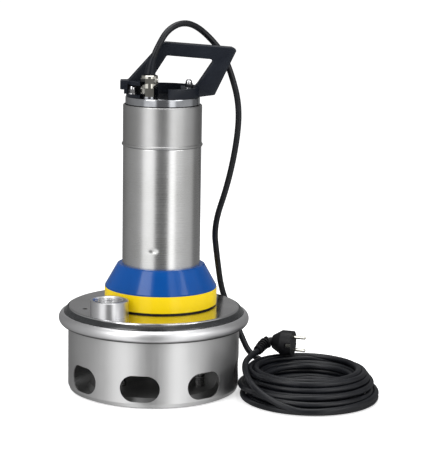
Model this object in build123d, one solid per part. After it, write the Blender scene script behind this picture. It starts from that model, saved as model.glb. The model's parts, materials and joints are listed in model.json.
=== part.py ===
from build123d import *
from math import atan2, cos, degrees, hypot, pi, radians, sin, tan
import os

# Submersible sump pump on a round strainer pot. Millimetres, +Z up.
# The origin is the centre of the pot's underside, on the floor.
# The discharge is at the front left (-X, -Y).

# ---------------------------------------------------------------- driving dimensions
SHEET = 1.5                      # wall of the drawn stainless pot and lid
POT_R = 125.0                    # outside of the pot wall
POT_CORNER = 8.0                 # bend between pot floor and wall
DISH_R, DISH_RISE = 96.0, 7.0    # raised middle of the pot floor, which clears the screw heads
RIM_R, RIM_IN_R = 138.7, 131.4   # rolled rim, outside and inside
SHELF_Z = 101.0                  # shelf on which the lid's gasket lies
RIM_TOP = 115.8

SLOT_COUNT, SLOT_L, SLOT_H, SLOT_Z = 8, 57.0, 38.0, 29.6
SLOT_FIRST = -98.9               # direction of the slot nearest the front, in degrees from +X

PLATE_R, PLATE_TOP = 124.2, 123.9
SKIRT_R, SKIRT_FOOT = 130.2, 103.6
VENT = (-99.3, -32.6)

AXIS = (9.5, 10.5)               # motor axis, set back from the discharge
SOCKET = (-63.4, -71.5)          # discharge axis
SOCKET_R, SOCKET_BORE, SOCKET_TOP = 27.3, 22.42, 146.4

FLANGE_R, FLANGE_FOOT, FLANGE_TOP = 82.0, 126.0, 150.3
CONE_FOOT_R, CONE_TOP_R, CONE_TOP = 81.4, 64.5, 184.5
CASING_R, CASING_IN_R, CASING_FOOT, CASING_TOP = 56.6, 54.6, 176.0, 357.5
UPPER_R, UPPER_FOOT, UPPER_TOP = 56.9, 357.9, 416.8
COVER_R, COVER_TOP = 53.6, 428.5

VOLUTE_R, VOLUTE_BORE, VOLUTE_FOOT, VOLUTE_TOP = 70.0, 64.0, 66.0, 117.0
VOLUTE_FLANGE_R = 82.0
SUCTION_R, SUCTION_EYE = 80.0, 25.0
BRANCH_R, BRANCH_BORE, BRANCH_Z = 19.8, 16.5, 92.0
BRANCH_END = 30.0                # from the riser's axis to the joint between elbow and volute
IMPELLER_R, IMPELLER_HUB = 56.0, 13.0
VOLUTE_BOLT_PCR = 76.0           # six bolts clamp volute, lid and casing flange together
SUCTION_SCREW_PCR = 74.5         # six screws hold the suction cover to the volute
BASE_SCREW_PCR = 66.0            # three screws tie the pot to the pump
BASE_SPACER_TOP = 53.0
BLADE_COUNT = 6
SHAFT_R = 6.0                    # at the impeller
JOURNAL_R = 8.5                  # at the seal and the lower bearing
CORE_BORE = 10.0                 # under the rotor core
TOP_JOURNAL_R = 7.5
ROTOR_R, STATOR_BORE, STATOR_R = 27.6, 28.0, 54.3
CORE_FOOT, CORE_TOP = 226.0, 320.0
STATOR_SLOTS = 18
LOWER_BEARING, UPPER_BEARING = 196.0, 350.0        # undersides of the two ball bearings
OIL_PLUG_SEAT = 83.2             # from the motor axis to the filler plug's seat, square to the cone
OIL_PLUG_TURN, OIL_PLUG_TILT = 80.0, 60.6          # direction from +X, and tilt away from vertical

COLLAR_R, COLLAR_WALL, COLLAR_TOP = 52.5, 3.0, 442.5
HANDLE_DEPTH = 20.0
STUD_R = 3.0
NUT_R = 4.75
STUDS = [((-33.5, -6.0), 432.5), ((46.7, 10.5), 440.0)]   # place, and the height of the washer's seat
GLAND = (-9.5, -14.0)
GLAND_TOP = 460.5

CORD_D = 9.0
BOOT_L, BOOT_STEPS = 24.0, 6     # tapered sleeve over the start of the cord
COIL_AT = (224.0, -52.0)         # middle of the coil's lowest turns
COIL_R, COIL_HOLE_R = 103.0, 56.0
COIL_TOP_R, COIL_LEAN = 90.0, 16.0                 # the upper turns are smaller and lie further back
COIL_H = 42.4
PLUG_AT = (207.0, 25.0, 61.0)    # centre of the plug's front face
PLUG_TURN = -20.0                # the plug points along +X, turned towards the front
PLUG_BACK = 31.0                 # from the plug's front face to its back
PIN_PITCH, PIN_R, PIN_L = 19.0, 2.4, 19.0

# Route of the cord from the gland to the coil, and of its end from the coil to the plug.
CORD_RUN = [
    (-9.5, -14.0, 460.5), (-6.5, -14.0, 482.0), (4.0, -11.0, 505.0), (14.5, 0.5, 522.0),
    (31.0, 14.5, 532.0), (49.0, 32.0, 531.2), (69.0, 47.0, 518.0), (94.5, 51.5, 490.5),
    (108.5, 45.0, 460.0), (121.5, 48.0, 413.0), (120.0, 56.0, 362.0), (108.0, 66.0, 294.0),
    (88.0, 79.0, 228.0), (94.0, 95.0, 178.0), (103.0, 110.0, 118.0), (121.5, 115.0, 82.5),
    (134.0, 109.0, 51.0), (146.0, 90.0, 28.0), (169.0, 70.0, 20.0), (190.0, 60.0, 16.0),
    (211.0, 55.0, 14.0),
]
CORD_TAIL = [
    (207.0, -151.5, 6.5), (186.0, -147.0, 11.5), (165.0, -135.0, 18.5), (146.0, -114.0, 27.5),
    (134.5, -88.0, 36.5), (131.5, -61.0, 43.0), (133.0, -34.0, 46.0), (140.0, -8.5, 48.0),
    (153.0, 11.0, 52.5),
]


UPRIGHT = (Align.CENTER, Align.CENTER, Align.MIN)


# ---------------------------------------------------------------- helpers
def turned(outline, centre=AXIS):
    """Solid of revolution about the vertical line at centre, from (radius, height) points."""
    face = make_face(Plane.XZ * Polyline(*outline, close=True))
    return Pos(centre[0], centre[1], 0) * revolve(face, Axis.Z)


def tube(outer, inner, foot, top, centre=AXIS):
    """Upright ring between two heights."""
    return turned([(inner, foot), (outer, foot), (outer, top), (inner, top)], centre)


def rod(radius, foot, top, centre=AXIS):
    """Upright round bar between two heights."""
    return Pos(centre[0], centre[1], foot) * Cylinder(radius, top - foot, align=UPRIGHT)


def block(low, high):
    """Box between two opposite corners."""
    size = [high[i] - low[i] for i in range(3)]
    return Pos(*low) * Box(*size, align=(Align.MIN, Align.MIN, Align.MIN))


def hexagon(across_flats, foot, top, centre):
    """Upright hexagonal prism."""
    profile = RegularPolygon(across_flats / 2, 6, major_radius=False)
    return Pos(centre[0], centre[1], foot) * extrude(profile, top - foot)


def around(radius, count, first=0.0, centre=AXIS):
    """Evenly spaced points on a circle."""
    angles = [radians(first + 360.0 * i / count) for i in range(count)]
    return [(centre[0] + radius * cos(a), centre[1] + radius * sin(a)) for a in angles]


def hex_screws(points, shank_r, across_flats, head_foot, head_top, shank_top):
    """Hexagon-head screws pointing up, as one group of separate solids."""
    screws = []
    for point in points:
        head = hexagon(across_flats, head_foot, head_top, point)
        screws.append(head + rod(shank_r, head_top, shank_top, point))
    return Compound(screws)


def corner_radii(route):
    """At each inner corner, 0.45 of the shorter run over the tangent of half the turn."""
    points = [Vector(*p) for p in route]
    radii = []
    for before, here, after in zip(points, points[1:], points[2:]):
        arrive = here - before
        leave = after - here
        half_turn = radians(arrive.get_angle(leave)) / 2
        radii.append(0.45 * min(arrive.length, leave.length) / tan(half_turn))
    return radii


def cord_path(route):
    """Straight runs joined by tangent arcs."""
    return FilletPolyline(*route, radius=corner_radii(route))


def cord_tube(name, route):
    """Round cord along its route, with its radii, length and share of the ideal volume printed."""
    path = cord_path(route)
    start = Plane(origin=path @ 0, z_dir=path % 0)
    solid = sweep(start * Circle(CORD_D / 2), path=path)
    share = solid.volume / (pi * (CORD_D / 2) ** 2 * path.length)
    print(name, "radii", [round(r) for r in corner_radii(route)])
    print(name, "length", round(path.length, 1), "volume share", round(share, 4))
    return solid


# ---------------------------------------------------------------- strainer base and lid
def strainer_base():
    """Drawn pot with eight slots in its wall, a raised floor and a rolled rim."""
    wall_in = POT_R - SHEET
    floor_r = POT_R - POT_CORNER
    shell = turned([
        (0, DISH_RISE), (DISH_R - 4, DISH_RISE), (DISH_R, 0), (floor_r, 0), (POT_R - 2.4, 2.4),
        (POT_R, POT_CORNER), (POT_R, SHELF_Z), (wall_in, SHELF_Z), (wall_in, POT_CORNER + 0.6),
        (POT_R - 3.5, 3.4), (floor_r - 0.6, SHEET), (DISH_R + 0.8, SHEET),
        (DISH_R - 3.2, DISH_RISE + SHEET), (0, DISH_RISE + SHEET),
    ], (0, 0))
    shelf = tube(RIM_IN_R + SHEET, wall_in, SHELF_Z - SHEET, SHELF_Z, (0, 0))
    riser = tube(RIM_IN_R + SHEET, RIM_IN_R, SHELF_Z - SHEET, RIM_TOP - 1.0, (0, 0))
    outside = ThreePointArc((RIM_IN_R, RIM_TOP - 0.6), (RIM_R, 107.8), (POT_R + 1.6, 97.4))
    inside = ThreePointArc((POT_R + 2.2, 98.9), (RIM_R - SHEET, 107.8), (RIM_IN_R, RIM_TOP - 2.3))
    lip = Line(outside @ 1, inside @ 0)
    root = Line(inside @ 1, outside @ 0)
    curl = revolve(make_face(Plane.XZ * Wire([outside, lip, inside, root])), Axis.Z)
    pot = shell + shelf + riser + curl
    slot = extrude(SlotOverall(SLOT_L, SLOT_H), 30)
    for i in range(SLOT_COUNT):
        angle = SLOT_FIRST + 360.0 * i / SLOT_COUNT
        place = Rot(0, 0, angle) * Pos(POT_R - 15, 0, SLOT_Z) * Rot(0, 90, 0) * Rot(0, 0, 90)
        pot -= place * slot
    for x, y in around(BASE_SCREW_PCR, 3, 90):
        pot -= rod(4.2, 0, 20, (x, y))
    return pot


def rim_gasket():
    """Flat ring between the pot's shelf and the lid's skirt."""
    return tube(SKIRT_R + 0.7, POT_R + 0.8, SHELF_Z, SKIRT_FOOT, (0, 0))


def cover_plate():
    """Lid with a skirt that fits inside the rolled rim."""
    lid = turned([
        (0, PLATE_TOP), (PLATE_R - 2.0, PLATE_TOP), (PLATE_R - 0.4, PLATE_TOP - 0.7),
        (PLATE_R + 0.6, PLATE_TOP - 2.4), (SKIRT_R, 115.2), (SKIRT_R, SKIRT_FOOT),
        (SKIRT_R - SHEET, SKIRT_FOOT), (SKIRT_R - SHEET, 115.6), (PLATE_R - 1.0, PLATE_TOP - 2.6),
        (PLATE_R - 2.2, PLATE_TOP - SHEET), (0, PLATE_TOP - SHEET),
    ], (0, 0))
    lid -= rod(40, 110, 130)
    lid -= rod(SOCKET_BORE - 1, 110, 130, SOCKET)
    lid -= rod(3.5, 110, 130, VENT)
    for point in around(VOLUTE_BOLT_PCR, 6):
        lid -= rod(3.3, 110, 130, point)
    return lid


def discharge_socket():
    """Threaded socket with a chamfered mouth, welded to the lid."""
    return turned([
        (SOCKET_BORE, PLATE_TOP), (SOCKET_R, PLATE_TOP), (SOCKET_R, SOCKET_TOP - 0.6),
        (SOCKET_R - 0.6, SOCKET_TOP), (SOCKET_BORE + 1.4, SOCKET_TOP), (SOCKET_BORE, SOCKET_TOP - 1.4),
    ], SOCKET)


# ---------------------------------------------------------------- pump end
def branch_heading():
    """Direction of the volute's outlet branch, tangential to the impeller on its way to the riser."""
    dx, dy = SOCKET[0] - AXIS[0], SOCKET[1] - AXIS[1]
    offset = degrees(atan2(50.0, hypot(dx, dy)))
    return degrees(atan2(dy, dx)) + offset


def branch_bar(radius, near, far):
    """Horizontal bar that ends at the riser's axis; near and far are measured back from that axis."""
    place = Pos(SOCKET[0], SOCKET[1], BRANCH_Z) * Rot(0, 0, branch_heading()) * Rot(0, -90, 0)
    return place * Pos(0, 0, near) * Cylinder(radius, far - near, align=UPRIGHT)


def volute_casing():
    body = rod(VOLUTE_R, VOLUTE_FOOT, VOLUTE_TOP)
    body += tube(SUCTION_R, VOLUTE_BORE, VOLUTE_FOOT, VOLUTE_FOOT + 6)
    body += tube(VOLUTE_FLANGE_R, 58, VOLUTE_TOP - 5, PLATE_TOP - SHEET)
    body += branch_bar(BRANCH_R, BRANCH_END + 0.2, 100)
    body -= rod(VOLUTE_BORE, VOLUTE_FOOT - 1, VOLUTE_TOP - 6)
    body -= branch_bar(BRANCH_BORE, BRANCH_END - 1, 95)
    body -= rod(16, VOLUTE_FOOT, PLATE_TOP + 1)
    for point in around(VOLUTE_BOLT_PCR, 6):
        body -= rod(3.3, VOLUTE_TOP - 6, PLATE_TOP, point)
    for point in around(SUCTION_SCREW_PCR, 6):
        body -= rod(2.5, VOLUTE_FOOT - 1, VOLUTE_FOOT + 4, point)
    return body


def suction_cover():
    cone = turned([
        (SUCTION_EYE, 46), (30, 46), (34, 50), (70, 57), (SUCTION_R, 58), (SUCTION_R, VOLUTE_FOOT),
        (VOLUTE_BORE, VOLUTE_FOOT), (60, VOLUTE_FOOT - 1.6), (28, VOLUTE_FOOT - 1.6), (SUCTION_EYE, 58),
    ])
    for point in around(SUCTION_SCREW_PCR, 6):
        cone += rod(5.2, 56, 60, point)
        cone -= rod(2.5, 40, VOLUTE_FOOT + 1, point)
    for point in around(BASE_SCREW_PCR, 3, 90):
        cone += rod(9, BASE_SPACER_TOP, 60, point)
        cone -= rod(4.0, 40, 65, point)
    return cone


def suction_screws():
    return hex_screws(around(SUCTION_SCREW_PCR, 6), 2.5, 8, 52, 56, VOLUTE_FOOT + 4)


def volute_bolts():
    head_top = VOLUTE_TOP - 5
    return hex_screws(around(VOLUTE_BOLT_PCR, 6), 3.3, 10, head_top - 5.2, head_top, FLANGE_FOOT + 8)


def riser_elbow():
    bend = Pos(SOCKET[0], SOCKET[1], BRANCH_Z) * Sphere(BRANCH_R)
    lid_foot = PLATE_TOP - SHEET
    body = bend + rod(BRANCH_R, BRANCH_Z, lid_foot, SOCKET) + branch_bar(BRANCH_R, 0, BRANCH_END)
    body += rod(25, lid_foot - 4, lid_foot, SOCKET)
    cavity = Pos(SOCKET[0], SOCKET[1], BRANCH_Z) * Sphere(BRANCH_BORE)
    cavity += rod(BRANCH_BORE, BRANCH_Z, PLATE_TOP, SOCKET) + branch_bar(BRANCH_BORE, 0, BRANCH_END + 5)
    return body - cavity


def base_spacers():
    return Compound([
        tube(8, 4.2, DISH_RISE + SHEET, BASE_SPACER_TOP, point) for point in around(BASE_SCREW_PCR, 3, 90)
    ])


def base_screws():
    return hex_screws(around(BASE_SCREW_PCR, 3, 90), 4.0, 13, 1.4, DISH_RISE, 65)


# ---------------------------------------------------------------- rotating group
def blade(angle):
    """Backward-curved blade between two arcs."""
    inner = ThreePointArc((15, 0), (38, -15), (56, -10))
    outer = ThreePointArc((56, -6.4), (38, -11), (15, 4))
    ends = [Line(inner @ 1, outer @ 0), Line(outer @ 1, inner @ 0)]
    face = make_face(Wire([inner, ends[0], outer, ends[1]]))
    return Pos(AXIS[0], AXIS[1], 66) * Rot(0, 0, angle) * extrude(face, 20)


def impeller():
    wheel = turned([
        (SHAFT_R, 68), (11, 68), (IMPELLER_HUB, 82), (IMPELLER_R, 86), (IMPELLER_R, 89), (20, 92),
        (IMPELLER_HUB, 96), (IMPELLER_HUB, 104), (SHAFT_R, 104),
    ])
    for i in range(BLADE_COUNT):
        wheel += blade(360.0 * i / BLADE_COUNT) - rod(IMPELLER_HUB - 1, 60, 90)
    wheel -= block((AXIS[0], AXIS[1] - 2, 60), (AXIS[0] + 8.2, AXIS[1] + 2, 110))
    return wheel


def impeller_washer():
    return tube(10, 4, 66, 68)


def impeller_screw():
    return hexagon(13, 60.5, 66, AXIS) + rod(4, 66, 84)


def motor_shaft():
    shaft = turned([
        (0, 68.2), (SHAFT_R, 68.2), (SHAFT_R, 104), (JOURNAL_R, 104), (JOURNAL_R, 209), (CORE_BORE, 209),
        (CORE_BORE, 336), (TOP_JOURNAL_R, 336), (TOP_JOURNAL_R, 361.5), (0, 361.5),
    ])
    shaft -= rod(4, 60, 84)
    shaft -= block((AXIS[0] + 3, AXIS[1] - 2, 86), (AXIS[0] + 12, AXIS[1] + 2, 102))
    return shaft


def shaft_key():
    return block((AXIS[0] + 3, AXIS[1] - 2, 86), (AXIS[0] + 8.2, AXIS[1] + 2, 102))


def rotor_core():
    return tube(ROTOR_R, CORE_BORE, CORE_FOOT, CORE_TOP)


def rotor_end_rings():
    return Compound([tube(25.5, 15, CORE_FOOT - 8, CORE_FOOT), tube(25.5, 15, CORE_TOP, CORE_TOP + 8)])


# ---------------------------------------------------------------- shaft seals
def seal_seat():
    return tube(15, JOURNAL_R + 0.5, FLANGE_TOP - 9, FLANGE_TOP - 2)


def seal_face():
    return tube(13.5, JOURNAL_R, FLANGE_TOP - 1.9, FLANGE_TOP + 3)


def seal_spring():
    """Coil spring that presses the seal face, closed between two flat turns, with a collar on the shaft."""
    coil = Helix(pitch=4.2, height=12.6, radius=11.2)
    wire = sweep(Plane(origin=coil @ 0, z_dir=coil % 0) * Circle(0.8), path=coil, is_frenet=True)
    spring = Pos(AXIS[0], AXIS[1], FLANGE_TOP + 4.2) * wire
    return spring + tube(12.6, JOURNAL_R, FLANGE_TOP + 16.4, FLANGE_TOP + 20)


def lip_seal():
    return turned([(15.8, 178), (15.8, 186.8), (9.4, 186.8), (8.6, 184), (10.5, 178)])


# ---------------------------------------------------------------- bearings
def bearing(foot, width, bore_r, outer_r, ball_r, ball_count=8):
    """Deep-groove ball bearing: outer ring, inner ring and the caged balls."""
    pitch_r = (bore_r + outer_r) / 2
    middle = foot + width / 2
    land = 0.62 * ball_r
    groove = Pos(AXIS[0], AXIS[1], middle) * Torus(pitch_r, ball_r + 0.06)
    outer = tube(outer_r, pitch_r + land, foot, foot + width) - groove
    inner = tube(pitch_r - land, bore_r, foot, foot + width) - groove
    places = around(pitch_r, ball_count)
    balls = [Pos(x, y, middle) * Sphere(ball_r) for x, y in places]
    cage = tube(pitch_r + 0.4 * ball_r, pitch_r - 0.4 * ball_r, middle - 1.2, middle + 1.2)
    for x, y in places:
        cage -= Pos(x, y, middle) * Sphere(ball_r + 0.05)
    return outer, inner, Compound(balls + list(cage.solids()))


# ---------------------------------------------------------------- motor and oil chamber
def flange_gasket():
    ring = tube(FLANGE_R - 1.8, 42, PLATE_TOP, FLANGE_FOOT)
    for point in around(VOLUTE_BOLT_PCR, 6):
        ring -= rod(3.3, 120, 130, point)
    return ring


def casing_flange():
    body = turned([
        (JOURNAL_R + 3, FLANGE_FOOT), (FLANGE_R - 0.8, FLANGE_FOOT), (FLANGE_R, FLANGE_FOOT + 0.8),
        (FLANGE_R, FLANGE_TOP - 0.8), (FLANGE_R - 0.8, FLANGE_TOP), (60, FLANGE_TOP), (56, FLANGE_FOOT + 10),
        (26, FLANGE_FOOT + 10), (22, FLANGE_TOP - 1), (15, FLANGE_TOP - 1), (15, FLANGE_TOP - 9),
        (JOURNAL_R + 3, FLANGE_TOP - 9),
    ])
    for point in around(VOLUTE_BOLT_PCR, 6):
        body -= rod(3.3, 120, FLANGE_FOOT + 8, point)
    return body


def oil_plug_bar(radius, near, far):
    """Bar square to the cone's back, where the filler plug sits."""
    place = Pos(AXIS[0], AXIS[1], 127) * Rot(0, 0, OIL_PLUG_TURN) * Rot(0, OIL_PLUG_TILT, 0)
    return place * Pos(0, 0, near) * Cylinder(radius, far - near, align=UPRIGHT)


def oil_housing():
    """Cone around the oil chamber, with a seat for the filler plug at the back."""
    body = turned([
        (60, FLANGE_TOP), (CONE_FOOT_R, FLANGE_TOP), (CONE_FOOT_R, FLANGE_TOP + 2.0),
        (CONE_TOP_R + 0.6, CONE_TOP - 3.2), (CONE_TOP_R - 0.5, CONE_TOP - 1.2),
        (CONE_TOP_R - 2.6, CONE_TOP - 0.2), (CONE_TOP_R - 4, CONE_TOP), (CASING_R, CONE_TOP),
        (CASING_R, CASING_FOOT), (48, CASING_FOOT), (48, 170), (58, 160),
    ])
    return body - oil_plug_bar(6.0, 60, 100) - oil_plug_bar(10.0, OIL_PLUG_SEAT, 100)


def oil_plug():
    plug = oil_plug_bar(6.0, 72, OIL_PLUG_SEAT) + oil_plug_bar(9.0, OIL_PLUG_SEAT, OIL_PLUG_SEAT + 3)
    return plug - oil_plug_bar(3.4, OIL_PLUG_SEAT - 2, OIL_PLUG_SEAT + 4)


def bearing_bracket():
    return turned([
        (54.3, CASING_FOOT), (54.3, 188), (50, 188), (34, 191), (26, 207.9), (20, 207.9),
        (20, LOWER_BEARING), (12, LOWER_BEARING), (12, 187), (16, 187), (16, 177), (46, 177),
        (48, CASING_FOOT),
    ])


def stator_core():
    core = tube(STATOR_R, STATOR_BORE, CORE_FOOT, CORE_TOP)
    for i in range(STATOR_SLOTS):
        core -= slot_bar(360.0 * i / STATOR_SLOTS, 0.0)
    return core


def slot_bar(angle, extra):
    """Space of one winding slot; extra lengthens it beyond the core at both ends."""
    height = CORE_TOP - CORE_FOOT + 2 * extra
    bar = Pos(38, 0, CORE_FOOT - extra + height / 2) * Box(12, 5, height)
    return Pos(AXIS[0], AXIS[1], 0) * Rot(0, 0, angle) * bar


def stator_windings():
    coil = tube(46, 31, CORE_FOOT - 14, CORE_FOOT - 1) + tube(46, 31, CORE_TOP + 1, CORE_TOP + 15)
    for i in range(STATOR_SLOTS):
        coil += slot_bar(360.0 * i / STATOR_SLOTS, 2.0)
    return coil


def motor_casing():
    return tube(CASING_R, CASING_IN_R, CASING_FOOT, CASING_TOP)


def upper_bracket():
    return turned([
        (54.3, 345), (54.3, 371), (50.5, 371), (50.5, 367), (0, 367), (0, 362.5), (12, 362.5), (12, 361),
        (17.5, 361), (17.5, 348), (22, 348), (24, 359), (47, 359), (50.5, 345),
    ])


def bracket_o_rings():
    return Compound([
        tube(CASING_IN_R, STATOR_R, z, z + 3) for z in (350.0, 363.0)
    ])


def upper_casing():
    """Tube over the terminals, with a rounded bead where it meets the motor's casing."""
    return turned([
        (CASING_IN_R, UPPER_FOOT), (UPPER_R + 0.9, UPPER_FOOT), (UPPER_R + 1.5, UPPER_FOOT + 0.8),
        (UPPER_R + 1.5, UPPER_FOOT + 2.6), (UPPER_R + 0.9, UPPER_FOOT + 3.4), (UPPER_R, UPPER_FOOT + 4.2),
        (UPPER_R, UPPER_TOP - 1.4), (UPPER_R - 0.9, UPPER_TOP), (CASING_IN_R, UPPER_TOP),
    ])


def top_cover():
    body = turned([
        (0, COVER_TOP), (COVER_R - 1.6, COVER_TOP), (COVER_R - 0.4, COVER_TOP - 0.6),
        (COVER_R, COVER_TOP - 1.8), (COVER_R, UPPER_TOP + 1.2), (COVER_R - 1.2, UPPER_TOP - 0.2),
        (COVER_R - 1.2, 412), (54.3, 411), (54.3, 405), (49, 405), (49, 421), (0, 421),
    ])
    for point, _ in STUDS:
        body += rod(6, 410, 421.5, point)
        body -= rod(STUD_R, 412, COVER_TOP + 1, point)
    body += rod(12, 414, COVER_TOP + 2, GLAND)
    body -= rod(7.5, 404, COVER_TOP + 3, GLAND)
    return body


def cover_o_ring():
    return tube(CASING_IN_R, COVER_R - 1.2, 412.2, 415.0)


def capacitor():
    return rod(17, 368, 408, (AXIS[0] + 18, AXIS[1] + 20))


def terminal_block():
    body = block((-32, -8, 368), (-8, 24, 386))
    for y in (-2, 8, 18):
        body -= rod(3, 378, 390, (-20, y))
    return body


# ---------------------------------------------------------------- handle and cable entry
def handle_arch():
    """Front outline of the arch, which leans to the right, swept through its depth."""
    outer = [
        (-41, COVER_TOP), (-41, 451), (5.5, 503.2), (12.5, 506.2), (107.5, 499.9), (114.6, 496.2),
        (84, 431.6), (62, COVER_TOP),
    ]
    inner = [
        (50, COVER_TOP), (50, 438), (58, 446.5), (81.8, 482.2), (14.8, 487.0), (-1.2, 462), (-13, 443),
        (-13, COVER_TOP),
    ]
    face = make_face(Plane.XZ * Polyline(*(outer + inner), close=True))
    return extrude(Pos(0, AXIS[1], 0) * face, HANDLE_DEPTH / 2, both=True)


def on_front_or_back(edge):
    """Whether an edge of the arch's grip lies in its front or back face."""
    middle = edge.center()
    return middle.Z > 455 and abs(abs(middle.Y - AXIS[1]) - HANDLE_DEPTH / 2) < 0.01


def handle():
    """Arch, with the collar, pads and foot that hold it to the top cover in one moulding."""
    arch = handle_arch()
    grip_corners = arch.edges().filter_by(Axis.Y).filter_by(lambda edge: edge.center().Z > 470)
    arch = fillet(grip_corners, 3.0)
    arch = fillet(arch.edges().filter_by(on_front_or_back), 2.5)
    collar = tube(COLLAR_R, COLLAR_R - COLLAR_WALL, COVER_TOP, COLLAR_TOP)
    collar -= block((-27, -60, COVER_TOP - 1), (17, AXIS[1], COLLAR_TOP + 1))
    bowl = rod(COLLAR_R, COVER_TOP, 440)
    right_pad = bowl & block((AXIS[0] + 26, -30, COVER_TOP), (80, 50, 440))
    left_foot = rod(COLLAR_R, COVER_TOP, 451) & block((-60, -26, COVER_TOP), (-23, 32, 451))
    lug = fillet(block((-51.4, -8, 438.6), (-38, 12, 452)).edges(), 1.6)
    nib = block((-46, -5, 432.5), (-40, 9, 440))
    body = arch + collar + right_pad + left_foot + lug + nib
    for (x, y), seat in STUDS:
        body -= rod(STUD_R, COVER_TOP - 1, seat + 1, (x, y))
        body -= rod(7.5, seat, seat + 14, (x, y))
    return body - block((-41, -40, 432.5), (-22, 1.5, 446.5))


def handle_studs():
    return Compound([rod(STUD_R, 412, seat + 7, point) for point, seat in STUDS])


def handle_washers():
    return Compound([tube(6, STUD_R, seat, seat + 1.5, point) for point, seat in STUDS])


def handle_nuts():
    nuts = []
    for point, seat in STUDS:
        foot = seat + 1.5
        nut = hexagon(10, foot, foot + 5.5, point)
        nut += rod(NUT_R, foot, foot + 7.2, point)
        nut += Pos(point[0], point[1], foot + 7.2) * Sphere(NUT_R)
        nuts.append(nut - rod(STUD_R, foot - 1, seat + 7, point))
    return Compound(nuts)


def gland_body():
    foot = COVER_TOP + 2
    body = hexagon(21, foot, foot + 12, GLAND) + rod(11.8, foot + 12, foot + 18, GLAND)
    body += rod(7.5, 412, foot, GLAND) + rod(9, foot + 18, foot + 21, GLAND)
    return body - rod(5.2, 410, GLAND_TOP, GLAND)


def gland_nut():
    foot = COVER_TOP + 20
    dome = [(0, foot + 7), (12, foot + 7.6), (12, GLAND_TOP - 1), (10.8, GLAND_TOP), (0, GLAND_TOP)]
    body = hexagon(21.5, foot + 0.4, foot + 8, GLAND) + turned(dome, GLAND)
    body -= rod(9, foot - 1, foot + 3, GLAND)
    return body - rod(7.6, foot - 1, GLAND_TOP + 1, GLAND)


def gland_seal():
    return tube(7.5, 5.2, COVER_TOP + 23.2, COVER_TOP + 26.5, GLAND)


def cable_boot():
    """Tapered rubber sleeve that bends with the start of the cord."""
    path = cord_path(CORD_RUN)
    sections = []
    for i in range(BOOT_STEPS + 1):
        share = i / BOOT_STEPS
        at = 1.0 + share * BOOT_L
        here = Plane(
            origin=path.position_at(at, position_mode=PositionMode.LENGTH),
            z_dir=path.tangent_at(at, position_mode=PositionMode.LENGTH),
        )
        sections.append(here * Circle(8.2 - 2.6 * share))
    solid = loft(sections)
    first = Plane(origin=path @ 0, z_dir=path % 0)
    solid += first * Pos(0, 0, -4) * Cylinder(6.2, 6, align=UPRIGHT)
    solid -= first * Pos(0, 0, -5) * Cylinder(CORD_D / 2, 5.2, align=UPRIGHT)
    return solid - sweep(first * Circle(CORD_D / 2), path=path)


# ---------------------------------------------------------------- cord and plug
def coil_solid(foot_r, top_r, foot, top):
    """Upright below a third of the height, then tapering and leaning back."""
    middle = COIL_H / 3
    lean = COIL_LEAN * (top - middle) / (COIL_H - middle)
    sections = [
        Pos(COIL_AT[0], COIL_AT[1], foot) * Circle(foot_r),
        Pos(COIL_AT[0], COIL_AT[1], middle) * Circle(foot_r),
        Pos(COIL_AT[0], COIL_AT[1] + lean, top) * Circle(top_r),
    ]
    return loft(sections[:2]) + loft(sections[1:])


def cable_coil():
    """Outer shape of the wound cord, with the hole through its middle."""
    return coil_solid(COIL_R, COIL_TOP_R, 0, COIL_H) - coil_solid(COIL_HOLE_R, COIL_HOLE_R, -1, COIL_H + 1)


def plug_place():
    """Middle of the plug's front face, with Z along the pins."""
    return Pos(*PLUG_AT) * Rot(0, 0, PLUG_TURN) * Rot(0, 90, 0)


def plug_body():
    front = Cylinder(18.5, 17, align=(Align.CENTER, Align.CENTER, Align.MAX))
    back = Pos(0, 0, -17) * Cone(10, 18.5, PLUG_BACK - 17, align=(Align.CENTER, Align.CENTER, Align.MAX))
    body = front + back
    for side in (-1, 1):
        body -= Pos(0, side * 18.5, -4) * Box(7, 5, 10)
    body -= Pos(9, 0, -6) * Cylinder(2.6, 13)
    return plug_place() * body


def plug_strain_relief():
    """Ribbed sleeve that bends from the cord's end to the plug's back."""
    cord_end = Vector(*CORD_TAIL[-1])
    cord_way = (cord_end - Vector(*CORD_TAIL[-2])).normalized()
    back = plug_place() * Location((0, 0, -PLUG_BACK))
    path = Spline(cord_end, back.position, tangents=(cord_way, Plane(back).z_dir))
    body = sweep(Plane(origin=path @ 0, z_dir=path % 0) * Circle(6.4), path=path)
    for i in range(6):
        at = 0.07 + 0.14 * i
        body += Plane(origin=path @ at, z_dir=path % at) * Cylinder(7.2 + 0.35 * i, 2.2)
    return body


def plug_pins():
    pins = []
    for side in (-1, 1):
        pin = Cylinder(PIN_R, PIN_L - 1.5, align=UPRIGHT)
        tip = Pos(0, 0, PIN_L - 1.5) * Cone(PIN_R, PIN_R - 1.2, 1.5, align=UPRIGHT)
        pins.append(plug_place() * Pos(side * PIN_PITCH / 2, 0, 0) * (pin + tip))
    return Compound(pins)


def plug_earth_contacts():
    """Two flat clips in the recesses at the plug's sides."""
    return Compound([plug_place() * Pos(0, side * 16.6, -3.5) * Box(5, 1.0, 7) for side in (-1, 1)])


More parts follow.
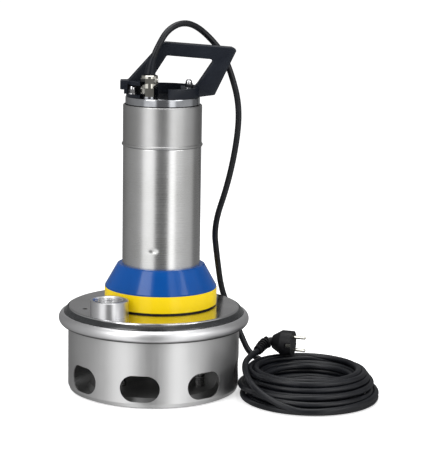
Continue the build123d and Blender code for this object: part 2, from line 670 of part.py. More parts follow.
# ---------------------------------------------------------------- write every node
def plain_nodes():
    """Every node whose function makes it alone and has its name."""
    makers = [
        strainer_base, rim_gasket, cover_plate, discharge_socket, volute_casing, suction_cover,
        suction_screws, volute_bolts, riser_elbow, base_spacers, base_screws, impeller, impeller_washer,
        impeller_screw, motor_shaft, shaft_key, rotor_core, rotor_end_rings, seal_seat, seal_face,
        seal_spring, lip_seal, flange_gasket, casing_flange, oil_housing, oil_plug, bearing_bracket,
        stator_core, stator_windings, motor_casing, upper_bracket, bracket_o_rings, upper_casing,
        top_cover, cover_o_ring, capacitor, terminal_block, handle, handle_studs, handle_washers,
        handle_nuts, gland_body, gland_nut, gland_seal, cable_boot, cable_coil, plug_body, plug_pins,
        plug_earth_contacts, plug_strain_relief,
    ]
    return {maker.__name__: maker() for maker in makers}


def main():
    os.makedirs("parts", exist_ok=True)
    nodes = plain_nodes()
    nodes["cable_run"] = cord_tube("cable_run", CORD_RUN)
    nodes["cable_tail"] = cord_tube("cable_tail", CORD_TAIL)
    bearings = {
        "lower_bearing": bearing(LOWER_BEARING, 12, JOURNAL_R, 20.0, 3.3),
        "upper_bearing": bearing(UPPER_BEARING, 11, TOP_JOURNAL_R, 17.5, 2.9),
    }
    for prefix, pieces in bearings.items():
        for suffix, solid in zip(("outer_ring", "inner_ring", "balls"), pieces):
            nodes[prefix + "_" + suffix] = solid
    for name, solid in nodes.items():
        export_step(solid, "parts/" + name + ".step")


main()
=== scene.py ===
"""Looks of the submersible sump pump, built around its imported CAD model. Everything is in metres."""

import json
from math import cos, exp, hypot, pi, radians, sin

import bmesh
import bpy
import numpy as np
from mathutils import Matrix, Vector


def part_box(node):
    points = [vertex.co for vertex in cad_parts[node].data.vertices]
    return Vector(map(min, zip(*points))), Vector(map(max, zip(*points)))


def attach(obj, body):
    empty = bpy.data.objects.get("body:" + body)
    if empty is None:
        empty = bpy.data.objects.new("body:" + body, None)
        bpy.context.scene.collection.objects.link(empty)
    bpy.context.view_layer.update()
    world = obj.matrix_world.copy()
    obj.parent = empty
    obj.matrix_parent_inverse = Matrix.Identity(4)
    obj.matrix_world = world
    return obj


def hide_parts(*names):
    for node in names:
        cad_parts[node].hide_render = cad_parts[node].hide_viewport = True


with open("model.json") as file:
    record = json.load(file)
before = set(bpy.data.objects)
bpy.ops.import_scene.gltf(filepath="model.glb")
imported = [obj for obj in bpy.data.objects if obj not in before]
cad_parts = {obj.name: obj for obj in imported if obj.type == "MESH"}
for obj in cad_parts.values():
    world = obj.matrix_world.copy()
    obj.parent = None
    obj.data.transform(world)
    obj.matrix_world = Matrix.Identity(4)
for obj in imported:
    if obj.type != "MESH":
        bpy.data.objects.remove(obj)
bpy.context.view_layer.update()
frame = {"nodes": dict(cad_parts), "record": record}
NODES = frame["nodes"]

# ---------------------------------------------------------------- driving dimensions
AXIS = Vector((0.0095, 0.0105, 0.0))      # motor axis
SOCKET = Vector((-0.0634, -0.0715, 0.0))  # discharge axis
SOCKET_BORE = 0.02242
THREAD_PITCH, THREAD_DEPTH = 0.00231, 0.0009
THREAD_FOOT, THREAD_TOP = 0.1246, 0.1448
THREAD_STEPS = 72                         # steps in each turn of the thread
THREAD_RUN_OUT = 20                       # steps over which the thread fades at each end

POT_WALL_R = 0.125
POT_RIM_FOOT = 0.0974                     # height at which the rolled rim leaves the pot's wall
POT_RIM_FADE = (0.0020, 0.0048)           # heights above that foot between which the rim's painted lighter tone begins
POT_SHADE_DEPTH = 0.0022                   # how far the painted shade at the rim's foot reaches down from it
POT_OUTER_SKIN = (0.0009, 0.0003)         # depths under the wall's outside that count as inside, painted in shade, and outside
POT_UNDERSIDE = (0.0011, 0.0014)          # heights between which the underside, spared the inside's painted shade, ends
# The outside of the wall's lower bend is where radius less this slope times height is over this edge.
POT_BEND_SLOPE, POT_BEND_EDGE = 0.43, (0.1206, 0.1210)

CASING_R, CASING_IN_R = 0.0566, 0.0546
CASING_EDGE = 0.0003                      # chamfer at the casing's ends
CASING_ROWS, CASING_STEPS = 150, 288      # mesh rows up the casing, and steps around it
DIMPLE = (-0.0022, 0.2112)                # pressed mark on the casing's front: X and height
DIMPLE_HALF = (0.0062, 0.0031)
DIMPLE_DEPTH = 0.0014

HANDLE_ROUNDING = 0.0009
# Section of the dark lip on the lid's shoulder, painted shade over the chamfer: radius and height.
LID_SHADE_LIP_OUTLINE = [
    (0.1249, 0.1221), (0.1254, 0.1224), (0.1263, 0.1219), (0.1281, 0.1196), (0.1301, 0.1171),
    (0.1310, 0.1155), (0.1311, 0.1143), (0.1303, 0.1141), (0.1302, 0.1152),
]

CORD_D = 0.009
CORD_RUN = [
    (-0.0095, -0.014, 0.4605), (-0.0065, -0.014, 0.482), (0.004, -0.011, 0.505), (0.0145, 0.0005, 0.522),
    (0.031, 0.0145, 0.532), (0.049, 0.032, 0.5312), (0.069, 0.047, 0.518), (0.0945, 0.0515, 0.4905),
    (0.1085, 0.045, 0.46), (0.1215, 0.048, 0.413), (0.12, 0.056, 0.362), (0.108, 0.066, 0.294),
    (0.088, 0.079, 0.228), (0.094, 0.095, 0.178), (0.103, 0.11, 0.118), (0.1215, 0.115, 0.0825),
    (0.134, 0.109, 0.051), (0.146, 0.09, 0.028), (0.169, 0.07, 0.02), (0.19, 0.06, 0.016),
    (0.211, 0.055, 0.014),
]
CORD_TAIL = [
    (0.207, -0.1515, 0.0065), (0.186, -0.147, 0.0115), (0.165, -0.135, 0.0185), (0.146, -0.114, 0.0275),
    (0.1345, -0.088, 0.0365), (0.1315, -0.061, 0.043), (0.133, -0.034, 0.046), (0.14, -0.0085, 0.048),
    (0.153, 0.011, 0.0525),
]
COIL_AT = (0.224, -0.052)                 # middle of the coil's lowest turns
COIL_LEAN = 0.004                         # each layer lies this much further back than the one below
COIL_STATIONS = 16                        # points of the cord in each turn
COIL_STEPS = 295                          # stations from the coil's first point to its last
COIL_START = radians(81.0)
COIL_RISE = 0.9                           # height of a layer over the one below, in cord diameters
COIL_GAP = 1.03                           # distance that settled turns keep, in cord diameters
COIL_RADIUS_SWAY, COIL_MIDDLE_SWAY = 0.0018, 0.0022  # how unevenly the turns were laid
# While the turns settle: rounds, share of an overlap undone, share of the drift kept, and smoothing along
# the cord.
SETTLE_ROUNDS, SETTLE_PUSH, SETTLE_KEEP, SETTLE_SMOOTH = 260, 0.35, 0.985, 0.2
# Each turn's radius, and its layer from the floor.
COIL_TURNS = (
    [(0.0985, 0), (0.0885, 0), (0.079, 0), (0.0695, 0), (0.0605, 0)]
    + [(0.063, 1), (0.0735, 1), (0.0845, 1), (0.093, 1)]
    + [(0.0865, 2), (0.076, 2), (0.0645, 2)]
    + [(0.068, 3), (0.079, 3), (0.084, 4), (0.0745, 4)]
    + [(0.0865, 3), (0.0965, 2), (0.1, 0)]
)

CAMERA_AT = Vector((0.0, -2.5618, 0.7044))
CAMERA_LENS = 137.0
CAMERA_YAW, CAMERA_PITCH, CAMERA_ROLL = 0.0344, 0.1843, 0.0163

# Bright and dark panels around the object: direction in degrees from the camera, towards +X, and radiance.
PANELS = [
    (-180, 0.26), (-165, 0.22), (-150, 0.17), (-115, 0.33), (-80, 0.44), (-62, 0.56), (-56, 1.25),
    (-24, 1.35), (-17, 0.2), (17, 0.2), (24, 1.95), (36, 1.9), (43, 0.75), (98, 0.6), (110, 0.22),
    (145, 0.22), (180, 0.26),
]
CEILING_FADE = (0.8, 0.93)                # sine of the elevation at which the panels give way to the ceiling
CEILING = (0.95, 0.95, 0.95, 1.0)
EVEN_LIGHT, BACKDROP_LIGHT = 0.7, 1.05
WHITE = (1.0, 1.0, 1.0, 1.0)


# ---------------------------------------------------------------- shader helpers
MATERIALS = {}                            # every material made here, by name


def add(tree, kind, inputs=None, **settings):
    """One shader node. An input is a plain value or the output of another node."""
    made = tree.nodes.new("ShaderNode" + kind)
    for name, value in settings.items():
        setattr(made, name, value)
    for name, value in (inputs or {}).items():
        socket = made.inputs[name]
        if isinstance(value, bpy.types.NodeSocket):
            tree.links.new(value, socket)
        else:
            socket.default_value = value
    return made


def new_material(name, **principled):
    """Material with one Principled shader, kept in MATERIALS. Its node tree and shader are given back."""
    made = bpy.data.materials.new(name)
    MATERIALS[name] = made
    made.use_nodes = True
    tree = made.node_tree
    tree.nodes.clear()
    shader = add(tree, "BsdfPrincipled", {key.replace("_", " "): value for key, value in principled.items()})
    add(tree, "OutputMaterial", {"Surface": shader.outputs["BSDF"]})
    return tree, shader


def noise(tree, scale, detail=4.0, roughness=0.55, stretch=(1.0, 1.0, 1.0)):
    """Noise in the object's own space, stretched along each axis."""
    place = add(tree, "TexCoord")
    mapping = add(tree, "Mapping", {"Vector": place.outputs["Object"], "Scale": stretch})
    texture = add(tree, "TexNoise", {
        "Vector": mapping.outputs["Vector"], "Scale": scale, "Detail": detail, "Roughness": roughness,
    })
    return texture.outputs["Fac"]


def ranged(tree, value, low, high, start=0.3, stop=0.7):
    """The value from start to stop, spread from low to high."""
    spread = add(tree, "MapRange", {
        "Value": value, "From Min": start, "From Max": stop, "To Min": low, "To Max": high,
    })
    return spread.outputs["Result"]


def tinted(tree, value, dark, light, start=0.3, stop=0.7):
    """Colour between two colours."""
    ramp = add(tree, "ValToRGB", {"Fac": value})
    ramp.color_ramp.elements[0].position = start
    ramp.color_ramp.elements[0].color = (*dark, 1.0)
    ramp.color_ramp.elements[1].position = stop
    ramp.color_ramp.elements[1].color = (*light, 1.0)
    return ramp.outputs["Color"]


def bump(tree, shader, height, strength, distance):
    """Fine relief of the shader's surface."""
    made = add(tree, "Bump", {"Height": height, "Strength": strength, "Distance": distance})
    tree.links.new(made.outputs["Normal"], shader.inputs["Normal"])


def shade(tree, shader, **sockets):
    """Links from node outputs to the shader's sockets of these names."""
    for name, value in sockets.items():
        tree.links.new(value, shader.inputs[name.replace("_", " ")])


# ---------------------------------------------------------------- materials
def satin_stainless(name, low, high, dark=0.56, light=0.64):
    """Sheet with a fine grain around the vertical axis, and faint handling marks."""
    tree, shader = new_material(name, Metallic=1.0, Anisotropic=0.65, Anisotropic_Rotation=0.25)
    grain = noise(tree, 1.0, 3.0, 0.6, (9.0, 9.0, 2600.0))
    marks = noise(tree, 14.0, 5.0)
    scratches = noise(tree, 1.0, 2.0, 0.5, (60.0, 60.0, 900.0))
    tangent = add(tree, "Tangent", direction_type="RADIAL", axis="Z")
    rough = add(tree, "Math", {0: ranged(tree, grain, low, high), 1: ranged(tree, marks, -0.02, 0.04)},
                operation="ADD")
    shade(tree, shader, Roughness=rough.outputs[0], Tangent=tangent.outputs["Tangent"],
          Base_Color=tinted(tree, marks, (dark, dark, 0.98 * dark), (light, light, light)))
    both = add(tree, "Math", {0: grain, 1: scratches}, operation="ADD")
    bump(tree, shader, both.outputs[0], 0.012, 0.0003)


def pot_stainless():
    """Deep-drawn sheet: duller than the casing, with drawing marks down its wall and a cleaned look."""
    tree, shader = new_material("pot_stainless", Anisotropic=0.3, Anisotropic_Rotation=0.25)
    drawn = noise(tree, 1.0, 3.0, 0.6, (260.0, 260.0, 8.0))
    clouds = noise(tree, 9.0, 5.0)
    grain = noise(tree, 900.0, 3.0)
    tangent = add(tree, "Tangent", direction_type="RADIAL", axis="Z")
    rough = add(tree, "Math", {0: ranged(tree, clouds, 0.36, 0.46), 1: ranged(tree, drawn, -0.03, 0.03)},
                operation="ADD")
    place = add(tree, "TexCoord")
    parts = add(tree, "SeparateXYZ", {"Vector": place.outputs["Object"]})
    flat = add(tree, "CombineXYZ", {"X": parts.outputs["X"], "Y": parts.outputs["Y"]})
    reach = add(tree, "VectorMath", {0: flat.outputs["Vector"]}, operation="LENGTH").outputs["Value"]
    # Painted light and shade: the rolled rim is painted lighter than the wall, a painted shade darkens the
    # band around the rim's foot, and the inside is painted darker and less metallic as painted shade.
    height = parts.outputs["Z"]
    painted_rim_light = ranged(tree, height, 0.0, 1.0, POT_RIM_FOOT + POT_RIM_FADE[0], POT_RIM_FOOT + POT_RIM_FADE[1])
    # Painted shade: dark from just below the rim's foot until the rim's lighter tone begins.
    rim_foot_shade = ranged(tree, height, 1.0, 0.16, POT_RIM_FOOT - POT_SHADE_DEPTH, POT_RIM_FOOT)
    wall_face = ranged(tree, reach, 0.3, 1.0, POT_WALL_R - POT_OUTER_SKIN[0], POT_WALL_R - POT_OUTER_SKIN[1])
    underside = ranged(tree, height, 1.0, 0.0, *POT_UNDERSIDE)
    sloped = add(tree, "Math", {0: height, 1: -POT_BEND_SLOPE, 2: reach}, operation="MULTIPLY_ADD")
    bend_face = ranged(tree, sloped.outputs[0], 0.3, 1.0, *POT_BEND_EDGE)
    lower = add(tree, "Math", {0: bend_face, 1: underside}, operation="MAXIMUM").outputs[0]
    outside = add(tree, "Math", {0: wall_face, 1: lower}, operation="MAXIMUM").outputs[0]
    wall = tinted(tree, clouds, (0.6, 0.6, 0.6), (0.68, 0.68, 0.68))
    shaded_wall = add(tree, "VectorMath", {0: wall, 1: rim_foot_shade}, operation="MULTIPLY").outputs["Vector"]
    # Painted light: the rim's lighter colour.
    rimmed = add(tree, "Mix", {"Factor": painted_rim_light, "A": shaded_wall, "B": (0.72, 0.72, 0.73, 1.0)},
                 data_type="RGBA")
    # Painted shade: the inside, seen through the slots, is darker and less metallic.
    coloured = add(tree, "VectorMath", {0: rimmed.outputs["Result"], 1: outside}, operation="MULTIPLY")
    metal = ranged(tree, outside, 0.15, 1.0, 0.3, 1.0)
    shade(tree, shader, Roughness=rough.outputs[0], Tangent=tangent.outputs["Tangent"], Metallic=metal,
          Base_Color=coloured.outputs["Vector"])
    both = add(tree, "Math", {0: drawn, 1: grain}, operation="ADD")
    bump(tree, shader, both.outputs[0], 0.03, 0.0003)


def polished_stainless():
    """Bright sheet with a soft haze and a few wiping marks."""
    tree, shader = new_material("polished_stainless", Metallic=1.0)
    haze = noise(tree, 22.0, 5.0)
    wipes = noise(tree, 1.0, 3.0, 0.6, (30.0, 340.0, 30.0))
    rough = add(tree, "Math", {0: ranged(tree, haze, 0.12, 0.19), 1: ranged(tree, wipes, 0.0, 0.04)},
                operation="ADD")
    shade(tree, shader, Roughness=rough.outputs[0],
          Base_Color=tinted(tree, haze, (0.58, 0.58, 0.59), (0.68, 0.68, 0.69)))
    bump(tree, shader, wipes, 0.03, 0.0003)


def machined_metal(name, dark, light, low, high, turned=1500.0, depth=0.08):
    """Turned metal with fine rings."""
    tree, shader = new_material(name, Metallic=1.0)
    rings = noise(tree, 1.0, 2.0, 0.5, (20.0, 20.0, turned))
    stain = noise(tree, 60.0, 4.0)
    shade(tree, shader, Roughness=ranged(tree, rings, low, high),
          Base_Color=tinted(tree, stain, dark, light))
    bump(tree, shader, rings, depth, 0.0002)


def cast_metal(name, dark, light, metallic=0.7):
    """Sand-cast skin with pits."""
    tree, shader = new_material(name, Metallic=metallic)
    skin = noise(tree, 420.0, 6.0, 0.65)
    stain = noise(tree, 35.0, 4.0)
    shade(tree, shader, Roughness=ranged(tree, skin, 0.4, 0.62),
          Base_Color=tinted(tree, stain, dark, light))
    bump(tree, shader, skin, 0.35, 0.0005)


def enamel(name, dark, light, coat=0.35):
    """Glossy paint with a slight orange peel."""
    tree, shader = new_material(name, Coat_Weight=coat, Coat_Roughness=0.05, Specular_IOR_Level=0.2)
    peel = noise(tree, 180.0, 2.0)
    drift = noise(tree, 18.0, 3.0)
    shade(tree, shader, Roughness=ranged(tree, peel, 0.15, 0.21),
          Base_Color=tinted(tree, drift, dark, light))
    bump(tree, shader, peel, 0.02, 0.0003)


def moulded_plastic(name, dark, light, low, high):
    """Plastic with a fine spark-eroded grain."""
    tree, shader = new_material(name, Specular_IOR_Level=0.25)
    texture = noise(tree, 900.0, 3.0)
    drift = noise(tree, 24.0, 4.0)
    shade(tree, shader, Roughness=ranged(tree, drift, low, high),
          Base_Color=tinted(tree, drift, dark, light))
    bump(tree, shader, texture, 0.25, 0.0003)


def rubber(name, dark, light, low=0.42, high=0.58, shine=0.25):
    """Rubber sheath with dust and a slightly uneven skin."""
    tree, shader = new_material(name, Specular_IOR_Level=shine)
    skin = noise(tree, 500.0, 4.0)
    dust = noise(tree, 45.0, 5.0, 0.65)
    shade(tree, shader, Roughness=ranged(tree, dust, low, high), Base_Color=tinted(tree, dust, dark, light))
    bump(tree, shader, skin, 0.18, 0.0003)


def laminations():
    """Edges of stacked steel sheets."""
    tree, shader = new_material("lamination_steel", Metallic=0.9)
    place = add(tree, "TexCoord")
    waves = add(tree, "TexWave", {"Vector": place.outputs["Object"], "Scale": 320.0, "Distortion": 0.2},
                bands_direction="Z")
    shade(tree, shader, Roughness=ranged(tree, waves.outputs["Fac"], 0.35, 0.55, 0.0, 1.0),
          Base_Color=tinted(tree, waves.outputs["Fac"], (0.12, 0.12, 0.12), (0.34, 0.33, 0.32)))
    bump(tree, shader, waves.outputs["Fac"], 0.4, 0.0003)


def slot_materials():
    """One material for each slot of the record."""
    satin_stainless("satin_stainless", 0.24, 0.34)
    polished_stainless()
    cast_metal("cast_grey", (0.05, 0.05, 0.055), (0.12, 0.12, 0.125))
    machined_metal("machined_steel", (0.42, 0.42, 0.42), (0.56, 0.56, 0.56), 0.2, 0.34)
    machined_metal("fastener_steel", (0.5, 0.5, 0.49), (0.66, 0.66, 0.66), 0.2, 0.32)
    machined_metal("bright_fasteners", (0.66, 0.66, 0.67), (0.8, 0.8, 0.81), 0.04, 0.1)
    cast_metal("impeller_steel", (0.38, 0.38, 0.38), (0.52, 0.52, 0.52), 1.0)
    laminations()
    cast_metal("cast_aluminium", (0.5, 0.5, 0.51), (0.64, 0.64, 0.65), 1.0)
    machined_metal("copper_winding", (0.42, 0.16, 0.06), (0.6, 0.26, 0.1), 0.25, 0.4)
    enamel("seal_ceramic", (0.74, 0.72, 0.66), (0.82, 0.8, 0.75))
    moulded_plastic("seal_carbon", (0.015, 0.015, 0.017), (0.03, 0.03, 0.034), 0.3, 0.42)
    rubber("black_rubber", (0.003, 0.003, 0.004), (0.009, 0.009, 0.011))
    enamel("yellow_enamel", (0.93, 0.66, 0.002), (0.97, 0.7, 0.004), 0.1)
    enamel("blue_enamel", (0.0, 0.06, 0.27), (0.0, 0.07, 0.31), 0.2)
    moulded_plastic("handle_plastic", (0.004, 0.006, 0.011), (0.007, 0.010, 0.017), 0.34, 0.46)
    moulded_plastic("capacitor_case", (0.68, 0.68, 0.66), (0.76, 0.76, 0.74), 0.3, 0.4)
    moulded_plastic("terminal_plastic", (0.58, 0.55, 0.46), (0.66, 0.63, 0.54), 0.4, 0.5)
    machined_metal("nickel_brass", (0.44, 0.43, 0.39), (0.6, 0.59, 0.53), 0.05, 0.1)
    rubber("cord_rubber", (0.0022, 0.0028, 0.0045), (0.007, 0.008, 0.0115), 0.34, 0.48, 0.35)
    rubber("boot_rubber", (0.002, 0.003, 0.006), (0.006, 0.008, 0.014), 0.36, 0.48)
    machined_metal("bearing_steel", (0.62, 0.62, 0.63), (0.74, 0.74, 0.75), 0.08, 0.16)


def own_materials():
    """Finishes of single nodes and pieces that differ from the rest of their slot."""
    pot_stainless()
    satin_stainless("dull_stainless", 0.36, 0.46, 0.43, 0.5)
    machined_metal("welded_socket", (0.62, 0.62, 0.63), (0.7, 0.7, 0.71), 0.3, 0.34, 700.0, 0.015)
    machined_metal("dark_polished", (0.34, 0.35, 0.37), (0.46, 0.47, 0.49), 0.1, 0.18)
    # Painted shade and painted reflection: the dark glossy lip over the lid's chamfer.
    rubber("lid_painted_shade", (0.012, 0.013, 0.014), (0.022, 0.024, 0.026), 0.16, 0.24, 0.6)


OWN_FINISH = {
    "strainer_base": "pot_stainless", "discharge_socket": "welded_socket", "top_cover": "dark_polished",
    "upper_casing": "dull_stainless",
}


def dress_nodes():
    """Each CAD node gets the material of its slot in the record, or its own finish."""
    for part in frame["record"]["subparts"]:
        mesh = NODES[part["node"]].data
        mesh.materials.clear()
        finish = OWN_FINISH.get(part["node"], part["material_slot"])
        mesh.materials.append(MATERIALS[finish])


# ---------------------------------------------------------------- pieces
def finish_piece(piece, slot, finish=None):
    """Material of a new piece, which joins the pump's body: the slot's material, unless a finish is named.
    """
    piece.data.materials.clear()
    piece.data.materials.append(MATERIALS[finish or slot])
    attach(piece, "pump")
    return piece


def linked(name, data):
    """New object in the scene."""
    piece = bpy.data.objects.new(name, data)
    bpy.context.scene.collection.objects.link(piece)
    return piece


def bevelled_copy(node, name, width):
    """A CAD node's shape with rounded edges."""
    mesh = NODES[node].data.copy()
    work = bmesh.new()
    work.from_mesh(mesh)
    bmesh.ops.remove_doubles(work, verts=work.verts, dist=1e-6)
    bmesh.ops.dissolve_limit(work, angle_limit=radians(1.0), verts=work.verts, edges=work.edges)
    work.to_mesh(mesh)
    work.free()
    mesh.name = name
    piece = linked(name, mesh)
    rounding = piece.modifiers.new("rounding", "BEVEL")
    rounding.width = width
    rounding.segments = 3
    rounding.limit_method = "ANGLE"
    rounding.angle_limit = radians(28.0)
    rounding.harden_normals = True
    for face in mesh.polygons:
        face.use_smooth = True
    return piece


def socket_thread():
    """Helical ridge inside the discharge socket."""
    steps = int((THREAD_TOP - THREAD_FOOT) / THREAD_PITCH * THREAD_STEPS)
    work = bmesh.new()
    rings = []
    for i in range(steps + 1):
        angle = 2 * pi * i / THREAD_STEPS
        height = THREAD_FOOT + THREAD_PITCH * i / THREAD_STEPS
        fade = min(1.0, i / THREAD_RUN_OUT, (steps - i) / THREAD_RUN_OUT)
        ring = []
        # The ridge stands on two feet just inside the wall, and its crest points at the socket's axis.
        for radius, lift in ((0.0001, -0.45), (-THREAD_DEPTH * fade, 0.0), (0.0001, 0.45)):
            reach = SOCKET_BORE + radius
            ring.append(work.verts.new((
                SOCKET.x + reach * cos(angle), SOCKET.y + reach * sin(angle), height + lift * THREAD_PITCH,
            )))
        rings.append(ring)
    for here, there in zip(rings, rings[1:]):
        for a in range(3):
            b = (a + 1) % 3
            work.faces.new((here[a], here[b], there[b], there[a]))
    work.faces.new(rings[0])
    work.faces.new(rings[-1])
    bmesh.ops.recalc_face_normals(work, faces=work.faces)
    mesh = bpy.data.meshes.new("socket_thread")
    work.to_mesh(mesh)
    work.free()
    return finish_piece(linked("socket_thread", mesh), "polished_stainless")


def turned_mesh(name, outline, centre, steps=192):
    """Closed ring mesh around a vertical axis, from (radius, height) points in order."""
    work = bmesh.new()
    rings = []
    for i in range(steps):
        angle = 2 * pi * i / steps
        rings.append([
            work.verts.new((centre[0] + radius * cos(angle), centre[1] + radius * sin(angle), height))
            for radius, height in outline
        ])
    for i in range(steps):
        here, there = rings[i], rings[(i + 1) % steps]
        for a in range(len(outline)):
            b = (a + 1) % len(outline)
            face = work.faces.new((here[a], there[a], there[b], here[b]))
            face.smooth = True
    bmesh.ops.recalc_face_normals(work, faces=work.faces)
    mesh = bpy.data.meshes.new(name)
    work.to_mesh(mesh)
    work.free()
    return linked(name, mesh)


def motor_tube():
    """The motor's casing with a small pressed mark on its front."""
    low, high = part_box("motor_casing")
    foot, top = low[2], high[2]
    row = (top - foot - 2 * CASING_EDGE) / CASING_ROWS
    outline = [(CASING_IN_R, foot), (CASING_IN_R, top), (CASING_R - CASING_EDGE, top)]
    outline += [(CASING_R, top - CASING_EDGE - row * i) for i in range(CASING_ROWS + 1)]
    outline += [(CASING_R - CASING_EDGE, foot)]
    piece = turned_mesh("motor_tube", outline, AXIS, CASING_STEPS)
    for vertex in piece.data.vertices:
        away = vertex.co - AXIS
        if away.y < 0 and hypot(away.x, away.y) > CASING_R - 0.0001:
            across = (vertex.co.x - DIMPLE[0]) / DIMPLE_HALF[0]
            upward = (vertex.co.z - DIMPLE[1]) / DIMPLE_HALF[1]
            vertex.co.y += DIMPLE_DEPTH * exp(-across * across - upward * upward)
    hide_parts("motor_casing")
    return finish_piece(piece, "satin_stainless")


def lid_shade_lip():
    """Dark glossy lip that lies on the lid's shoulder and closes the gap to the pot's rim: a dark piece as
    painted shade and painted reflection of the chamfer there.
    """
    piece = turned_mesh("lid_shade_lip", LID_SHADE_LIP_OUTLINE, (0.0, 0.0))
    return finish_piece(piece, "black_rubber", "lid_painted_shade")


def handle_moulding():
    """The handle with rounded edges."""
    piece = bevelled_copy("handle", "handle_moulding", HANDLE_ROUNDING)
    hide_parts("handle")
    return finish_piece(piece, "handle_plastic")


# ---------------------------------------------------------------- cord
def coil_target(step):
    """Where a station of the coil would lie before the turns settle on each other."""
    turn = step / COIL_STATIONS
    angle = COIL_START - 2 * pi * turn
    whole = np.arange(len(COIL_TURNS)) + 0.5
    radius = float(np.interp(turn, whole, [size for size, _ in COIL_TURNS]))
    layer = float(np.interp(turn, whole, [level for _, level in COIL_TURNS]))
    loose = min(1.0, turn, COIL_STEPS / COIL_STATIONS - turn)
    radius += COIL_RADIUS_SWAY * loose * sin(1.7 * turn + 0.6)
    shift_x = COIL_MIDDLE_SWAY * loose * sin(2.4 * turn)
    shift_y = COIL_LEAN * layer + COIL_MIDDLE_SWAY * loose * sin(1.9 * turn + 1.0)
    return (
        COIL_AT[0] + shift_x + radius * cos(angle), COIL_AT[1] + shift_y + radius * sin(angle),
        CORD_D / 2 + COIL_RISE * CORD_D * layer,
    )


def settled_coil():
    """The coil's points, after turns that would share one place have pushed each other aside."""
    target = np.array([coil_target(step) for step in range(COIL_STEPS + 1)])
    turns = COIL_STEPS // COIL_STATIONS + 1
    blank = turns * COIL_STATIONS - len(target)
    far_away = np.full((blank, 3), 9.0) + np.arange(blank)[:, None]
    points = target.copy()
    gap = COIL_GAP * CORD_D
    for _ in range(SETTLE_ROUNDS):
        padded = np.vstack([points, far_away])
        grid = padded.reshape(turns, COIL_STATIONS, 3)
        apart = grid[:, None] - grid[None, :]
        distance = np.linalg.norm(apart, axis=-1)
        distance[np.arange(turns), np.arange(turns)] = 1.0
        overlap = np.clip(gap - distance, 0.0, None) / np.maximum(distance, 1e-5)
        push = SETTLE_PUSH * (apart * overlap[..., None]).sum(axis=1)
        points += push.reshape(-1, 3)[:len(points)]
        drift = SETTLE_KEEP * (points - target)
        drift[1:-1] += SETTLE_SMOOTH * (drift[:-2] + drift[2:] - 2 * drift[1:-1])
        points = target + drift
        points[:, 2] = np.maximum(points[:, 2], CORD_D / 2)
    return [tuple(point) for point in points]


def mains_cord():
    """The whole cord from the gland to the plug, as one spline."""
    route = CORD_RUN + settled_coil() + CORD_TAIL
    curve = bpy.data.curves.new("mains_cord", "CURVE")
    curve.dimensions = "3D"
    spline = curve.splines.new("NURBS")
    spline.points.add(len(route) - 1)
    for point, place in zip(spline.points, route):
        point.co = (*place, 1.0)
    spline.order_u = 3
    spline.use_endpoint_u = True
    spline.resolution_u = 10
    spline.use_smooth = True
    curve.bevel_depth = CORD_D / 2
    curve.bevel_resolution = 5
    curve.use_fill_caps = True
    piece = linked("mains_cord", curve)
    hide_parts("cable_run", "cable_coil", "cable_tail")
    return finish_piece(piece, "cord_rubber")


# ---------------------------------------------------------------- floor, light and camera
def floor():
    """Plain white ground, which also glows a little, so that no edge shows against the backdrop."""
    bpy.ops.mesh.primitive_circle_add(vertices=96, radius=6.0, fill_type="NGON")
    piece = bpy.context.object
    piece.name = "floor"
    new_material(
        "floor_paper", Base_Color=(0.9, 0.9, 0.9, 1.0), Roughness=0.9, Emission_Color=WHITE,
        Emission_Strength=0.5, Specular_IOR_Level=0.0,
    )
    piece.data.materials.append(MATERIALS["floor_paper"])
    piece.visible_glossy = False


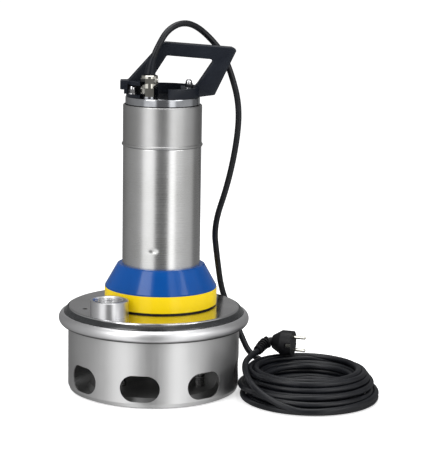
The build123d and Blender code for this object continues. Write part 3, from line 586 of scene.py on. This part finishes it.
def studio_world():
    """White behind the object, even light on it, and panels that only gloss picks up."""
    world = bpy.data.worlds.new("studio")
    bpy.context.scene.world = world
    world.use_nodes = True
    tree = world.node_tree
    tree.nodes.clear()
    place = add(tree, "TexCoord")
    parts = add(tree, "SeparateXYZ", {"Vector": place.outputs["Generated"]})
    away = add(tree, "Math", {0: parts.outputs["Y"], 1: -1.0}, operation="MULTIPLY")
    turn = add(tree, "Math", {0: parts.outputs["X"], 1: away.outputs[0]}, operation="ARCTAN2")
    share = add(tree, "MapRange", {"Value": turn.outputs[0], "From Min": -pi, "From Max": pi})
    ramp = add(tree, "ValToRGB", {"Fac": share.outputs["Result"]})
    stops = ramp.color_ramp.elements
    for angle, _ in PANELS[1:-1]:
        stops.new((angle + 180) / 360)
    for stop, (_, radiance) in zip(stops, PANELS):
        stop.color = (radiance, radiance, radiance, 1.0)
    height = add(tree, "MapRange", {
        "Value": parts.outputs["Z"], "From Min": CEILING_FADE[0], "From Max": CEILING_FADE[1],
    })
    gloss = add(tree, "Mix", {"Factor": height.outputs["Result"], "A": ramp.outputs["Color"], "B": CEILING},
                data_type="RGBA")
    light = add(tree, "LightPath")
    glossy = add(tree, "Background", {"Color": gloss.outputs["Result"], "Strength": 1.0})
    even = add(tree, "Background", {"Color": WHITE, "Strength": EVEN_LIGHT})
    backdrop = add(tree, "Background", {"Color": WHITE, "Strength": BACKDROP_LIGHT})
    object_light = add(tree, "MixShader", {0: light.outputs["Is Glossy Ray"], 1: even.outputs[0],
                                           2: glossy.outputs[0]})
    seen = add(tree, "MixShader", {0: light.outputs["Is Camera Ray"], 1: object_light.outputs[0],
                                   2: backdrop.outputs[0]})
    add(tree, "OutputWorld", {"Surface": seen.outputs[0]})


def softbox(name, place, aim, width, height, power):
    """Rectangular light that the camera doesn't see."""
    data = bpy.data.lights.new(name, "AREA")
    data.shape = "RECTANGLE"
    data.size = width
    data.size_y = height
    data.energy = power
    piece = linked(name, data)
    piece.location = place
    piece.rotation_euler = (Vector(aim) - Vector(place)).to_track_quat("-Z", "Y").to_euler()
    piece.visible_camera = False


def lights():
    softbox("key", (-1.3, -1.5, 1.5), (0, 0, 0.25), 1.0, 1.0, 14)
    softbox("fill", (1.6, -1.2, 1.2), (0, 0, 0.25), 0.8, 1.0, 8)
    softbox("top", (0.0, 0.2, 2.0), (0, 0, 0), 1.4, 1.4, 16)


def camera():
    """Camera at the photograph's viewing angle, with no shift."""
    forward = Vector((
        sin(CAMERA_YAW) * cos(CAMERA_PITCH), cos(CAMERA_YAW) * cos(CAMERA_PITCH), -sin(CAMERA_PITCH),
    ))
    level = Vector((cos(CAMERA_YAW), -sin(CAMERA_YAW), 0.0))
    upright = level.cross(forward)
    right = cos(CAMERA_ROLL) * level + sin(CAMERA_ROLL) * upright
    up = -sin(CAMERA_ROLL) * level + cos(CAMERA_ROLL) * upright
    data = bpy.data.cameras.new("camera")
    data.sensor_width = 36.0
    data.lens = CAMERA_LENS
    data.clip_end = 50.0
    piece = linked("camera", data)
    turn = Matrix((right, up, -forward)).transposed().to_4x4()
    piece.matrix_world = Matrix.Translation(CAMERA_AT) @ turn
    bpy.context.scene.camera = piece


# ---------------------------------------------------------------- the scene
bpy.context.scene.view_settings.view_transform = "Standard"
camera()
studio_world()
lights()
floor()
slot_materials()
own_materials()
dress_nodes()
mains_cord()
handle_moulding()
socket_thread()
lid_shade_lip()
motor_tube()
